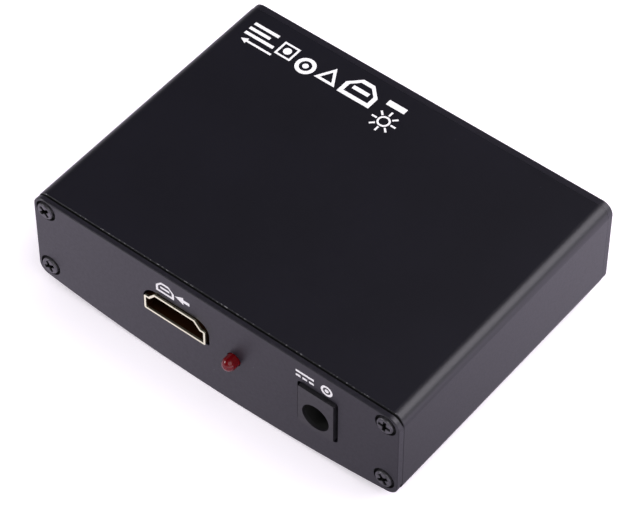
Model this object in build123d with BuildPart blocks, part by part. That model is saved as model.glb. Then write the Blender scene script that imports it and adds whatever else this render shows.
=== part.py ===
from build123d import *
import os
from math import asin, cos, sin, sqrt

# Small video converter: an extruded aluminium case between two screwed end plates, and a
# circuit board that slides out with the rear plate. Lengths are in millimetres. The box lies
# on its domed face, so its flat face is up (+Z). The digital video socket, the indicator and
# the power jack are in the front plate, towards -Y, and the phono jacks are at the rear.

# Case
case_width = 88.0
case_length = 63.6
case_height = 25.2
case_wall = 1.5
dome_rise = 3.3
flat_edge_radius = 2.6
dome_edge_radius = 2.6
dome_strips = 8
case_end_chamfer = 0.12
smallest_radius = 0.3

# Screw ports in the corners of the case
port_side_inset = 3.1
port_flat_inset = 2.75
port_dome_height = 6.45
port_radius = 2.3
port_slot_width = 1.0
port_slot_lap = 0.3

# End plates
plate_thickness = 1.5
plate_side_inset = 0.05
plate_face_inset = 0.1
plate_edge_chamfer = 0.15
front_seam_width = 0.45
front_seam_depth = 0.7

# Case screws, with cross-recessed pan heads in counterbores
screw_radius = 1.25
screw_thread_depth = 0.2
screw_thread_pitch = 0.8
screw_length = 8.0
screw_tip_length = 0.8
screw_tip_taper = 0.4
screw_head_radius = 1.85
screw_head_proud = 0.45
screw_head_rounding = 0.35
screw_recess_length = 2.7
screw_recess_width = 0.75
screw_recess_depth = 0.8
screw_recess_taper = 8.0
screw_recess_core = 0.6
screw_turns = (41.0, -6.0, 28.0, 36.0)
screw_running_gap = 0.05
screw_hole_gap = 0.15
screw_seat_gap = 0.08
screw_counterbore_depth = 0.7
screw_counterbore_gap = 0.55

# Circuit board and its guides
board_thickness = 1.6
board_back_space = 3.1
board_edge_gap = 0.3
board_end_gap = 0.6
board_slide_gap = 0.1
guide_thickness = 1.3
guide_lap = 1.6
lead_hole_gap = 0.1
lead_stub = 0.8

# Digital video socket
socket_x = -8.7
socket_drop = 3.3
socket_width = 15.0
socket_height = 5.5
socket_narrow_width = 9.9
socket_ledge = 1.1
socket_shoulder = 3.8
socket_length = 12.5
socket_proud = 0.5
socket_wall = 0.45
socket_rounding = 0.4
socket_inner_rounding = 0.15
socket_cutout_side_gap = 0.6
socket_cutout_face_gap = 0.2
socket_cutout_high_radius = 3.2
socket_cutout_low_radius = 0.5
socket_seam_width = 0.16
socket_seam_depth = 0.25
socket_leg_thickness = 0.45
socket_leg_width = 1.6
socket_leg_inset = 2.2
tongue_width = 11.0
tongue_thickness = 1.9
tongue_recess = 2.0
tongue_block_length = 3.0
tongue_block_gap = 0.02
contact_count = 10
contact_pitch = 1.0
contact_width = 0.45
contact_thickness = 0.12
contact_setback = 0.6
contact_tail_reach = 1.3
contact_tail_thickness = 0.2
contact_tail_width = 0.25

# Indicator
lamp_x = 5.3
lamp_drop = 5.6
lamp_radius = 1.5
lamp_length = 6.2
lamp_proud = 2.8
lamp_flange_radius = 1.9
lamp_flange_thickness = 1.0
lamp_hole_gap = 0.15
lamp_lead_width = 0.5
lamp_lead_pitch = 2.54
lamp_lead_reach = 2.4
lamp_lead_bend = 1.0

# Power jack
power_x = 25.3
power_width = 8.3
power_height = 10.6
power_length = 14.0
power_proud = 0.65
power_bore_drop = 6.5
power_bore_radius = 3.15
power_bore_depth = 9.5
power_pin_radius = 1.0
power_stem_radius = 0.8
power_pin_setback = 2.3
power_pin_rounding = 0.6
power_cutout_gap = 0.6
power_cutout_radius = 0.9
power_edge_rounding = 0.25
power_terminal_thickness = 0.6
power_terminal_width = 2.4
power_side_terminal_y = 7.0
power_side_slot_depth = 0.8

# Sprung contact of the power jack, a leaf above the bore
leaf_width = 2.2
leaf_thickness = 0.35
leaf_channel_gap = 0.3
leaf_channel_height = 1.9
leaf_pivot_setback = 1.6
leaf_pivot_rise = 1.2
leaf_contact_setback = 5.0
leaf_dip = 0.45
leaf_tip_reach = 1.6
leaf_tip_rise = 0.9

# Phono jacks, from -X to +X
phono_names = ("green", "blue", "red", "audio_white", "audio_red")
picture_jacks = 3
phono_pitch = 14.0
phono_floor_gap = 0.84
phono_barrel_radius = 4.15
phono_barrel_wall = 0.5
phono_seat_wall = 0.3
phono_barrel_reach = 8.0
phono_barrel_seat = 3.0
phono_lip_rounding = 0.15
phono_insert_setback = 0.5
phono_bore_radius = 1.7
phono_contact_wall = 0.4
phono_contact_setback = 1.4
phono_contact_slot = 0.5
phono_tail_radius = 0.6
phono_tail_width = 1.2
phono_tail_thickness = 0.6
phono_nose_radius = 4.9
phono_nose_gap = 0.1
phono_block_length = 10.0
phono_block_bottom = 5.4
phono_block_gap = 0.6
phono_block_rounding = 0.5
phono_pocket_width = 4.0
phono_pocket_depth = 5.0
phono_pocket_drop = 2.0

# Screws that hold the phono blocks to the rear plate
block_screw_radius = 1.0
block_screw_length = 7.0
block_screw_head_radius = 2.0
block_screw_head_height = 1.3
block_screw_head_rounding = 0.5
block_screw_drop = 3.4
block_screw_hole_gap = 0.15

# Parts on the board. A share places a part's centre between the middle and the board's edge.
front_row_share = 0.16
rear_row_share = 0.84
chip_standoff = 0.15
chip_chamfer = 0.15
chip_dot_radius = 0.5
chip_dot_depth = 0.06
gull_thickness = 0.15
gull_foot = 0.6
gull_reach = 1.1
gull_width_share = 0.44
quad_row_count = 4
dual_row_count = 2
receiver_size = 14.0
receiver_height = 1.4
receiver_lead_count = 25
receiver_pitch = 0.5
picture_chip_share = 0.347
picture_chip_size = 10.0
picture_chip_height = 1.4
picture_chip_lead_count = 16
picture_chip_pitch = 0.5
sound_chip_share = 0.695
sound_chip_width = 4.0
sound_chip_length = 9.9
sound_chip_height = 1.5
sound_chip_lead_count = 7
sound_chip_pitch = 1.27
memory_share = -0.666
memory_width = 3.9
memory_length = 4.9
memory_height = 1.5
memory_lead_count = 4
memory_pitch = 1.27
crystal_share = -0.666
crystal_length = 11.0
crystal_width = 4.6
crystal_height = 3.6
crystal_flange = 0.4
crystal_flange_height = 0.5
inductor_share = 0.313
inductor_size = 6.6
inductor_height = 3.0
inductor_corner = 1.2
inductor_pad_width = 2.2
inductor_pad_thickness = 0.3
capacitor_radius = 3.15
capacitor_height = 7.6
capacitor_base_size = 6.6
capacitor_base_height = 1.0
capacitor_base_chamfer = 1.2
capacitor_groove = 0.25
capacitor_groove_height = 2.4
capacitor_rounding = 0.4
front_capacitor_shares = (0.587, 0.809)
rear_capacitor_shares = (-0.757, -0.522)
regulator_shares = (0.535, 0.796)
regulator_width = 6.5
regulator_depth = 3.5
regulator_height = 1.6
regulator_tab_width = 3.0
regulator_lead_count = 3
regulator_lead_width = 0.7
regulator_lead_pitch = 2.3
regulator_lead_reach = 1.6
regulator_lead_thickness = 0.3
ceramic_length = 1.6
ceramic_width = 0.9
ceramic_height = 0.8
ceramic_pitch = 2.6
ceramic_share = -0.862
ceramic_columns = 2
ceramic_rows = 7
middle_ceramic_share = 0.086
middle_ceramic_rows = 4
resistor_length = 1.6
resistor_width = 0.8
resistor_height = 0.5
resistor_pitch = 2.4
resistor_share = -0.026
resistor_columns = 6
resistor_rows = 2

# Places worked out from the sizes above
front_reach = max(lamp_proud, socket_proud, power_proud, screw_head_proud)
body_length = case_length + 2 * plate_thickness
overall_length = front_reach + body_length + phono_barrel_reach
front_y = front_reach - overall_length / 2
front_inner_y = front_y + plate_thickness
rear_y = front_y + body_length
rear_inner_y = rear_y - plate_thickness

dome_radius = ((case_width / 2) ** 2 + dome_rise**2) / (2 * dome_rise)
port_x = case_width / 2 - port_side_inset
flat_port_z = case_height - port_flat_inset
screw_points = [(side * port_x, z) for z in (flat_port_z, port_dome_height) for side in (-1, 1)]

board_back_z = case_height - case_wall - board_back_space
board_z = board_back_z - board_thickness
board_half = port_x - port_radius - board_edge_gap
board_front_y = front_inner_y + board_end_gap
board_rear_y = rear_inner_y - board_end_gap

socket_z = board_z - socket_drop
socket_front_y = front_y - socket_proud
socket_rear_y = socket_front_y + socket_length
lamp_z = board_z - lamp_drop
lamp_base_y = front_y - lamp_proud + lamp_length
power_front_y = front_y - power_proud
power_rear_y = power_front_y + power_length
power_bore_z = board_z - power_bore_drop
phono_half_width = (len(phono_names) * phono_pitch - phono_block_gap) / 2
phono_floor_z = dome_radius - sqrt((dome_radius - case_wall) ** 2 - phono_half_width**2)
phono_z = phono_floor_z + phono_floor_gap + phono_block_bottom
phono_front_y = rear_inner_y - phono_block_length
phono_x = [(i - (len(phono_names) - 1) / 2) * phono_pitch for i in range(len(phono_names))]
picture_x = phono_x[:picture_jacks]
sound_x = phono_x[picture_jacks:]
block_screw_x = [(jacks[0] + jacks[1]) / 2 for jacks in (picture_x, sound_x)]
block_screw_z = phono_z - block_screw_drop

clear_front_y = max(socket_rear_y, power_rear_y)
clear_length = phono_front_y - clear_front_y
front_row_y = clear_front_y + front_row_share * clear_length
chip_row_y = clear_front_y + clear_length / 2
rear_row_y = clear_front_y + rear_row_share * clear_length
picture_chip_x = picture_chip_share * board_half
sound_chip_x = sound_chip_share * board_half
memory_x = memory_share * board_half
crystal_x = crystal_share * board_half
inductor_x = inductor_share * board_half
ceramic_x = ceramic_share * board_half
middle_ceramic_x = middle_ceramic_share * board_half
resistor_x = resistor_share * board_half
regulator_x = [share * board_half for share in regulator_shares]


def facing_front(y):
    """Plane at y that faces -Y. Its sketch axes are X and Z."""
    return Plane.XZ.offset(-y)


def front_seat(x, y, z):
    """Plane facing -Y with its origin at a point."""
    return Plane(origin=(x, y, z), x_dir=(1, 0, 0), z_dir=(0, -1, 0))


def rear_seat(x, y, z):
    """Plane facing +Y with its origin at a point."""
    return Plane(origin=(x, y, z), x_dir=(-1, 0, 0), z_dir=(0, 1, 0))


def save(part, name):
    part.label = name
    export_step(part, f"parts/{name}.step")


def side_points(outline, half_width):
    """Corner points on the two straight sides of a case section."""
    return outline.vertices().filter_by(lambda point: abs(point.X) > half_width - smallest_radius)


def case_outline(side_inset, face_inset):
    """Section of the case: flat above, domed below, set in from the outer surface."""
    half_width = case_width / 2 - side_inset
    top = case_height - face_inset
    arc_radius = dome_radius - face_inset
    flat_radius = max(flat_edge_radius - side_inset, smallest_radius)
    lower_radius = max(dome_edge_radius - side_inset, smallest_radius)
    step_angle = asin(half_width / arc_radius) / dome_strips
    dome_points = [
        (arc_radius * sin(step * step_angle), dome_radius - arc_radius * cos(step * step_angle))
        for step in range(-dome_strips, dome_strips + 1)
    ]
    with BuildSketch() as outline:
        with BuildLine():
            Polyline(dome_points[0], (-half_width, top), (half_width, top), dome_points[-1])
            for start in range(0, 2 * dome_strips, 2):
                ThreePointArc(*dome_points[start : start + 3])
        make_face()
        fillet(side_points(outline, half_width).group_by(Axis.Y)[-1], flat_radius)
        fillet(side_points(outline, half_width).group_by(Axis.Y)[0], lower_radius)
    return outline.sketch


def socket_outline(growth):
    """Section of the video socket, its narrow side up, grown outwards by a distance."""
    half = socket_width / 2
    narrow = socket_narrow_width / 2
    low = -socket_height / 2
    shoulder = low + socket_shoulder
    half_points = [(half, low), (half, shoulder), (half - socket_ledge, shoulder), (narrow, -low)]
    with BuildSketch() as outline:
        with BuildLine():
            Polyline(*half_points, *[(-x, z) for x, z in reversed(half_points)], close=True)
        make_face()
        offset(amount=growth, kind=Kind.INTERSECTION)
        fillet(outline.vertices(), max(socket_rounding + growth, socket_inner_rounding))
    return outline.sketch


outer_outline = case_outline(0, 0)
inner_outline = case_outline(case_wall, case_wall)
plate_outline = case_outline(plate_side_inset, plate_face_inset)
front_back_outline = case_outline(plate_side_inset, plate_face_inset + front_seam_depth)

os.makedirs("parts", exist_ok=True)

# Leads that pass through the board: centre and section of each one
socket_leg_x = socket_width / 2 + socket_leg_thickness / 2
socket_leg_y = (board_front_y + socket_leg_inset, socket_rear_y - socket_leg_inset)
socket_legs = [
    (socket_x + side * socket_leg_x, y, socket_leg_thickness, socket_leg_width)
    for side in (-1, 1)
    for y in socket_leg_y
]
lamp_lead_y = lamp_base_y + lamp_lead_reach
lamp_lead_x = [lamp_x + side * lamp_lead_pitch / 2 for side in (-1, 1)]
lamp_leads = [(x, lamp_lead_y, lamp_lead_width, lamp_lead_width) for x in lamp_lead_x]
pin_blade_y = power_rear_y + power_terminal_thickness / 2
power_pin_blade = (power_x, pin_blade_y, power_terminal_width, power_terminal_thickness)
leaf_blade_y = power_rear_y - leaf_pivot_setback + power_terminal_thickness
leaf_blade = (power_x, leaf_blade_y, leaf_width, power_terminal_thickness)
side_blade = (
    power_x + power_width / 2 - power_side_slot_depth + power_terminal_thickness / 2,
    power_front_y + power_side_terminal_y,
    power_terminal_thickness,
    power_terminal_width,
)
phono_tail_y = phono_front_y + phono_pocket_depth / 2
phono_tails = [(x, phono_tail_y, phono_tail_width, phono_tail_thickness) for x in phono_x]
through_leads = [*socket_legs, *lamp_leads, power_pin_blade, leaf_blade, side_blade, *phono_tails]

# Case extrusion, with screw ports in its corners and guides for the board
guide_inner_x = board_half - guide_lap
guide_z = board_z - board_slide_gap - guide_thickness
guide_width = case_width / 2 - case_wall - guide_inner_x
back_guide_z = board_back_z + board_slide_gap
back_guide_width = port_x - guide_inner_x
guide_x = guide_inner_x + guide_width / 2
back_guide_x = guide_inner_x + back_guide_width / 2
with BuildPart() as case_extrusion:
    with BuildSketch(facing_front(front_inner_y)):
        add(outer_outline)
        add(inner_outline, mode=Mode.SUBTRACT)
        with Locations(*screw_points):
            Circle(port_radius)
        for side in (-1, 1):
            with Locations((side * guide_x, guide_z + guide_thickness / 2)):
                Rectangle(guide_width, guide_thickness)
            with Locations((side * back_guide_x, back_guide_z + guide_thickness / 2)):
                Rectangle(back_guide_width, guide_thickness)
        with Locations(*screw_points):
            Circle(screw_radius + screw_running_gap, mode=Mode.SUBTRACT)
        for side in (-1, 1):
            with Locations((side * port_x, flat_port_z - port_radius / 2)):
                Rectangle(port_slot_width, port_radius + port_slot_lap, mode=Mode.SUBTRACT)
            with Locations((side * port_x, port_dome_height + port_radius / 2)):
                Rectangle(port_slot_width, port_radius + port_slot_lap, mode=Mode.SUBTRACT)
    extrude(amount=-case_length)
    for end in (0, -1):
        chamfer(case_extrusion.faces().sort_by(Axis.Y)[end].outer_wire().edges(), case_end_chamfer)
save(case_extrusion.part, "case_extrusion")

# Front plate. Its back layer is set in above and below, which leaves a groove at the case.
counterbore_radius = screw_head_radius + screw_counterbore_gap
screw_hole_radius = screw_radius + screw_hole_gap
cutout_width = power_width + 2 * power_cutout_gap
cutout_height = power_height + 2 * power_cutout_gap
socket_cutout_width = socket_width + 2 * socket_cutout_side_gap
socket_cutout_height = socket_height + 2 * socket_cutout_face_gap
with BuildSketch() as socket_cutout:
    Rectangle(socket_cutout_width, socket_cutout_height)
    fillet(socket_cutout.vertices().group_by(Axis.Y)[-1], socket_cutout_high_radius)
    fillet(socket_cutout.vertices().group_by(Axis.Y)[0], socket_cutout_low_radius)
with BuildPart() as front_plate:
    with BuildSketch(facing_front(front_y)):
        add(plate_outline)
    extrude(amount=front_seam_width - plate_thickness)
    with BuildSketch(facing_front(front_inner_y - front_seam_width)):
        add(front_back_outline)
    extrude(amount=-front_seam_width)
    with BuildSketch(facing_front(front_y)):
        with Locations((socket_x, socket_z)):
            add(socket_cutout.sketch)
        with Locations((lamp_x, lamp_z)):
            Circle(lamp_radius + lamp_hole_gap)
        with Locations((power_x, board_z - power_height / 2)):
            RectangleRounded(cutout_width, cutout_height, power_cutout_radius)
    extrude(amount=-plate_thickness, mode=Mode.SUBTRACT)
    chamfer(front_plate.faces().sort_by(Axis.Y)[0].outer_wire().edges(), plate_edge_chamfer)
    with Locations(*[front_seat(x, front_y, z) for x, z in screw_points]):
        CounterBoreHole(screw_hole_radius, counterbore_radius, screw_counterbore_depth)
save(front_plate.part, "front_plate")

# Rear plate, which lies flush against the case
with BuildPart() as rear_plate:
    with BuildSketch(facing_front(rear_inner_y)):
        add(plate_outline)
    extrude(amount=-plate_thickness)
    with BuildSketch(facing_front(rear_inner_y)):
        with Locations(*[(x, phono_z) for x in phono_x]):
            Circle(phono_nose_radius + phono_nose_gap)
        with Locations(*[(x, block_screw_z) for x in block_screw_x]):
            Circle(block_screw_radius + block_screw_hole_gap)
    extrude(amount=-plate_thickness, mode=Mode.SUBTRACT)
    chamfer(rear_plate.faces().sort_by(Axis.Y)[-1].outer_wire().edges(), plate_edge_chamfer)
    with Locations(*[rear_seat(x, rear_y, z) for x, z in screw_points]):
        CounterBoreHole(screw_hole_radius, counterbore_radius, screw_counterbore_depth)
save(rear_plate.part, "rear_plate")

# Case screw, modelled once: axis Z, the plate's outer face at z = 0, the shank below it
head_bottom_z = screw_seat_gap - screw_counterbore_depth
thread_root = screw_radius - screw_thread_depth
thread_length = screw_length - screw_tip_length + head_bottom_z
thread_turns = max(1, round(thread_length / screw_thread_pitch))
thread_step = thread_length / thread_turns
thread_profile = []
for turn in range(thread_turns):
    turn_z = head_bottom_z - turn * thread_step
    thread_profile.append((screw_radius, turn_z))
    thread_profile.append((thread_root, turn_z - thread_step / 2))
with BuildPart() as case_screw:
    with BuildSketch(Plane.XZ):
        with BuildLine():
            Polyline(
                (0, screw_head_proud),
                (screw_head_radius, screw_head_proud),
                (screw_head_radius, head_bottom_z),
                *thread_profile,
                (screw_radius, head_bottom_z - thread_length),
                (screw_radius - screw_tip_taper, -screw_length),
                (0, -screw_length),
                close=True,
            )
        make_face()
    revolve(axis=Axis.Z)
    fillet(case_screw.faces().sort_by(Axis.Z)[-1].edges(), screw_head_rounding)
    with BuildSketch(Plane.XY.offset(screw_head_proud)):
        Rectangle(screw_recess_length, screw_recess_width)
        Rectangle(screw_recess_width, screw_recess_length)
    extrude(amount=-screw_recess_depth, taper=screw_recess_taper, mode=Mode.SUBTRACT)
    with Locations((0, 0, screw_head_proud)):
        Hole(screw_recess_core, screw_recess_depth)
for number, ((x, z), turn) in enumerate(zip(screw_points, screw_turns), 1):
    front_place = front_seat(x, front_y, z).location * Rotation(0, 0, turn)
    rear_place = rear_seat(x, rear_y, z).location * Rotation(0, 0, turn)
    save(case_screw.part.moved(front_place), f"front_screw_{number}")
    save(case_screw.part.moved(rear_place), f"rear_screw_{number}")

# Circuit board
with BuildPart() as circuit_board:
    with BuildSketch(Plane.XY.offset(board_z)):
        with Locations((0, (board_front_y + board_rear_y) / 2)):
            Rectangle(2 * board_half, board_rear_y - board_front_y)
        for x, y, width, depth in through_leads:
            with Locations((x, y)):
                Rectangle(width + 2 * lead_hole_gap, depth + 2 * lead_hole_gap, mode=Mode.SUBTRACT)
    extrude(amount=board_thickness)
save(circuit_board.part, "circuit_board")

# Video socket shell, a folded tube with a seam and four legs that pass through the board
socket_leg_drop = socket_z - socket_height / 2 + socket_shoulder / 2
with BuildPart() as video_socket_shell:
    with BuildSketch(facing_front(socket_front_y)):
        with Locations((socket_x, socket_z)):
            add(socket_outline(0))
            add(socket_outline(-socket_wall), mode=Mode.SUBTRACT)
    extrude(amount=-socket_length)
    with BuildSketch(Plane.XY.offset(socket_leg_drop)):
        for x, y, width, depth in socket_legs:
            with Locations((x, y)):
                Rectangle(width, depth)
    extrude(amount=board_back_z + lead_stub - socket_leg_drop)
    with BuildSketch(facing_front(socket_front_y)):
        with Locations((socket_x, socket_z + (socket_height - socket_seam_depth) / 2)):
            Rectangle(socket_seam_width, socket_seam_depth)
    extrude(amount=-socket_length, mode=Mode.SUBTRACT)
save(video_socket_shell.part, "video_socket_shell")

# Video socket tongue, on the moulded block that closes the back of the shell
tongue_block_y = socket_rear_y - tongue_block_length
tongue_front_y = socket_front_y + tongue_recess
with BuildPart() as video_socket_tongue:
    with BuildSketch(facing_front(tongue_block_y)):
        with Locations((socket_x, socket_z)):
            add(socket_outline(-socket_wall - tongue_block_gap))
    extrude(amount=-tongue_block_length)
    with BuildSketch(facing_front(tongue_front_y)):
        with Locations((socket_x, socket_z)):
            Rectangle(tongue_width, tongue_thickness)
    extrude(amount=tongue_front_y - tongue_block_y)
save(video_socket_tongue.part, "video_socket_tongue")

# Video socket contacts: two rows of strips on the tongue and one row of tails at the board
strip_length = tongue_block_y - tongue_front_y - contact_setback
strip_y = tongue_front_y + contact_setback + strip_length / 2
tail_count = 2 * contact_count - 1
with BuildPart() as video_socket_contacts:
    with BuildSketch(Plane.XY.offset(socket_z - tongue_thickness / 2)):
        with Locations((socket_x, strip_y)):
            with GridLocations(contact_pitch, 1, contact_count, 1):
                Rectangle(contact_width, strip_length)
    extrude(amount=-contact_thickness)
    with BuildSketch(Plane.XY.offset(socket_z + tongue_thickness / 2)):
        with Locations((socket_x, strip_y)):
            with GridLocations(contact_pitch, 1, contact_count - 1, 1):
                Rectangle(contact_width, strip_length)
    extrude(amount=contact_thickness)
    with BuildSketch(Plane.XY.offset(board_z)):
        with Locations((socket_x, socket_rear_y + contact_tail_reach / 2)):
            with GridLocations(contact_pitch / 2, 1, tail_count, 1):
                Rectangle(contact_tail_width, contact_tail_reach)
    extrude(amount=-contact_tail_thickness)
    with BuildSketch(Plane.XY.offset(board_z)):
        with Locations((socket_x, socket_rear_y + contact_tail_thickness / 2)):
            with GridLocations(contact_pitch / 2, 1, tail_count, 1):
                Rectangle(contact_tail_width, contact_tail_thickness)
    extrude(amount=-socket_drop)
save(video_socket_contacts.part, "video_socket_contacts")

# Indicator lens: flange, straight side and dome in one revolved shape
with BuildPart() as indicator_lens:
    with BuildSketch(Plane.XY.offset(lamp_z)):
        with BuildLine():
            lens_tip_y = lamp_base_y - lamp_length
            dome_y = lens_tip_y + lamp_radius
            flange_y = lamp_base_y - lamp_flange_thickness
            RadiusArc((lamp_x, lens_tip_y), (lamp_x + lamp_radius, dome_y), -lamp_radius)
            Polyline(
                (lamp_x + lamp_radius, dome_y),
                (lamp_x + lamp_radius, flange_y),
                (lamp_x + lamp_flange_radius, flange_y),
                (lamp_x + lamp_flange_radius, lamp_base_y),
                (lamp_x, lamp_base_y),
                (lamp_x, lens_tip_y),
            )
        make_face()
    revolve(axis=Axis((lamp_x, 0, lamp_z), (0, 1, 0)))
save(indicator_lens.part, "indicator_lens")

# Indicator leads, bent from the lens up through the board
with BuildPart() as indicator_leads:
    for x, y, width, depth in lamp_leads:
        with BuildLine() as lead_path:
            lead_points = ((x, lamp_base_y, lamp_z), (x, y, lamp_z), (x, y, board_back_z + lead_stub))
            FilletPolyline(*lead_points, radius=lamp_lead_bend)
        with BuildSketch(Plane(origin=(x, lamp_base_y, lamp_z), x_dir=(1, 0, 0), z_dir=(0, 1, 0))):
            Rectangle(width, depth)
        sweep(path=lead_path.wire())
save(indicator_leads.part, "indicator_leads")

# Power jack housing: bore, leaf channel above it and a slot for the side terminal
channel_width = leaf_width + 2 * leaf_channel_gap
channel_front_y = power_front_y + leaf_contact_setback - leaf_tip_reach - leaf_channel_gap
channel_bottom_z = power_bore_z + power_bore_radius - leaf_dip - leaf_thickness
channel_top_z = power_bore_z + power_bore_radius + leaf_channel_height
side_slot_x = power_x + power_width / 2
with BuildPart() as power_jack_housing:
    with BuildSketch(facing_front(power_front_y)):
        with Locations((power_x, board_z - power_height / 2)):
            Rectangle(power_width, power_height)
    extrude(amount=-power_length)
    fillet(power_jack_housing.edges().filter_by(Axis.Y), power_edge_rounding)
    with Locations(front_seat(power_x, power_front_y, power_bore_z)):
        Hole(power_bore_radius, power_bore_depth)
        Hole(power_stem_radius)
    with BuildSketch(facing_front(channel_front_y)):
        with Locations((power_x, (channel_bottom_z + channel_top_z) / 2)):
            Rectangle(channel_width, channel_top_z - channel_bottom_z)
    extrude(amount=channel_front_y - power_rear_y, mode=Mode.SUBTRACT)
    with BuildSketch(Plane.XY.offset(board_z)):
        with Locations((side_slot_x, power_front_y + power_side_terminal_y)):
            Rectangle(2 * power_side_slot_depth, power_terminal_width + 2 * lead_hole_gap)
        with Locations((power_x, leaf_blade_y)):
            Rectangle(channel_width, power_terminal_thickness + 2 * lead_hole_gap)
    extrude(amount=channel_bottom_z - board_z, mode=Mode.SUBTRACT)
save(power_jack_housing.part, "power_jack_housing")

# Power jack centre pin, with a rounded nose inside the bore and a thinner stem behind it
pin_front_y = power_front_y + power_pin_setback
bore_floor_y = power_front_y + power_bore_depth
with BuildPart() as power_jack_pin:
    with BuildSketch(facing_front(pin_front_y)):
        with Locations((power_x, power_bore_z)):
            Circle(power_pin_radius)
    extrude(amount=pin_front_y - bore_floor_y)
    fillet(power_jack_pin.faces().sort_by(Axis.Y)[0].edges(), power_pin_rounding)
    with BuildSketch(facing_front(bore_floor_y)):
        with Locations((power_x, power_bore_z)):
            Circle(power_stem_radius)
    extrude(amount=bore_floor_y - power_rear_y)
save(power_jack_pin.part, "power_jack_pin")

# Power jack terminals: three blades that pass through the board
blade_top_z = board_back_z + lead_stub
leaf_blade_z = power_bore_z + power_bore_radius + leaf_pivot_rise - leaf_thickness
with BuildPart() as power_jack_terminals:
    for blade, bottom_z in (
        (power_pin_blade, power_bore_z - power_stem_radius),
        (leaf_blade, leaf_blade_z),
        (side_blade, channel_bottom_z),
    ):
        x, y, width, depth = blade
        with BuildSketch(Plane.XY.offset(bottom_z)):
            with Locations((x, y)):
                Rectangle(width, depth)
        extrude(amount=blade_top_z - bottom_z)
save(power_jack_terminals.part, "power_jack_terminals")

# Sprung leaf: from its pivot it slopes down into the bore and turns up again at the tip
leaf_pivot_y = power_rear_y - leaf_pivot_setback
leaf_pivot_z = power_bore_z + power_bore_radius + leaf_pivot_rise
leaf_contact_y = power_front_y + leaf_contact_setback
leaf_contact_z = power_bore_z + power_bore_radius - leaf_dip
leaf_tip_y = leaf_contact_y - leaf_tip_reach
with BuildPart() as power_jack_leaf:
    with BuildSketch(Plane.YZ.offset(power_x - leaf_width / 2)):
        with BuildLine():
            Polyline(
                (leaf_pivot_y, leaf_pivot_z),
                (leaf_contact_y, leaf_contact_z),
                (leaf_tip_y, leaf_contact_z + leaf_tip_rise),
                (leaf_tip_y, leaf_contact_z + leaf_tip_rise - leaf_thickness),
                (leaf_contact_y, leaf_contact_z - leaf_thickness),
                (leaf_pivot_y, leaf_pivot_z - leaf_thickness),
                close=True,
            )
        make_face()
    extrude(amount=leaf_width)
save(power_jack_leaf.part, "power_jack_leaf")


# A phono barrel has a shoulder on the plate's outer face and a thinner seat in its housing
barrel_inner_radius = phono_barrel_radius - phono_barrel_wall
barrel_seat_radius = barrel_inner_radius + phono_seat_wall
barrel_bottom_z = -plate_thickness - phono_barrel_seat


def phono_block(name, jacks, screw_x):
    """Moulded housing for a row of phono jacks."""
    width = len(jacks) * phono_pitch - phono_block_gap
    bottom_z = phono_z - phono_block_bottom
    centre_z = (board_z + bottom_z) / 2
    pocket_height = board_z - phono_z + phono_pocket_drop
    with BuildPart() as block:
        with BuildSketch(facing_front(phono_front_y)):
            with Locations(((jacks[0] + jacks[-1]) / 2, centre_z)):
                RectangleRounded(width, board_z - bottom_z, phono_block_rounding)
        extrude(amount=-phono_block_length)
        with BuildSketch(facing_front(rear_inner_y)):
            with Locations(*[(x, phono_z) for x in jacks]):
                Circle(phono_nose_radius)
        extrude(amount=-plate_thickness)
        with Locations(*[rear_seat(x, rear_y, phono_z) for x in jacks]):
            Hole(barrel_seat_radius, plate_thickness + phono_barrel_seat)
            Hole(phono_tail_radius)
        with BuildSketch(facing_front(phono_front_y)):
            with Locations(*[(x, board_z - pocket_height / 2) for x in jacks]):
                Rectangle(phono_pocket_width, pocket_height)
        extrude(amount=-phono_pocket_depth, mode=Mode.SUBTRACT)
        with Locations(rear_seat(screw_x, rear_inner_y, block_screw_z)):
            Hole(block_screw_radius, block_screw_length - plate_thickness)
    save(block.part, name)


phono_block("picture_jack_housing", picture_x, block_screw_x[0])
phono_block("sound_jack_housing", sound_x, block_screw_x[1])

# Phono barrel and insert, modelled once: axis Z, the plate's outer face at z = 0, mouth up
phono_contact_radius = phono_bore_radius + phono_contact_wall
insert_top_z = phono_barrel_reach - phono_insert_setback
contact_top_z = phono_barrel_reach - phono_contact_setback
with BuildPart() as barrel:
    with BuildSketch():
        Circle(phono_barrel_radius)
        Circle(barrel_inner_radius, mode=Mode.SUBTRACT)
    extrude(amount=phono_barrel_reach)
    fillet(barrel.faces().sort_by(Axis.Z)[-1].edges(), phono_lip_rounding)
    with BuildSketch():
        Circle(barrel_seat_radius)
        Circle(barrel_inner_radius, mode=Mode.SUBTRACT)
    extrude(amount=barrel_bottom_z)
with BuildPart() as insert:
    with BuildSketch(Plane.XY.offset(barrel_bottom_z)):
        Circle(barrel_inner_radius)
        Circle(phono_contact_radius, mode=Mode.SUBTRACT)
    extrude(amount=contact_top_z - barrel_bottom_z)
    with BuildSketch(Plane.XY.offset(contact_top_z)):
        Circle(barrel_inner_radius)
        Circle(phono_bore_radius, mode=Mode.SUBTRACT)
    extrude(amount=insert_top_z - contact_top_z)
    fillet(insert.faces().sort_by(Axis.Z)[-1].inner_wires().edges(), smallest_radius)
for name, x in zip(phono_names, phono_x):
    seat = rear_seat(x, rear_y, phono_z).location
    save(barrel.part.moved(seat), f"{name}_jack_barrel")
    save(insert.part.moved(seat), f"{name}_jack_insert")

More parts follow.
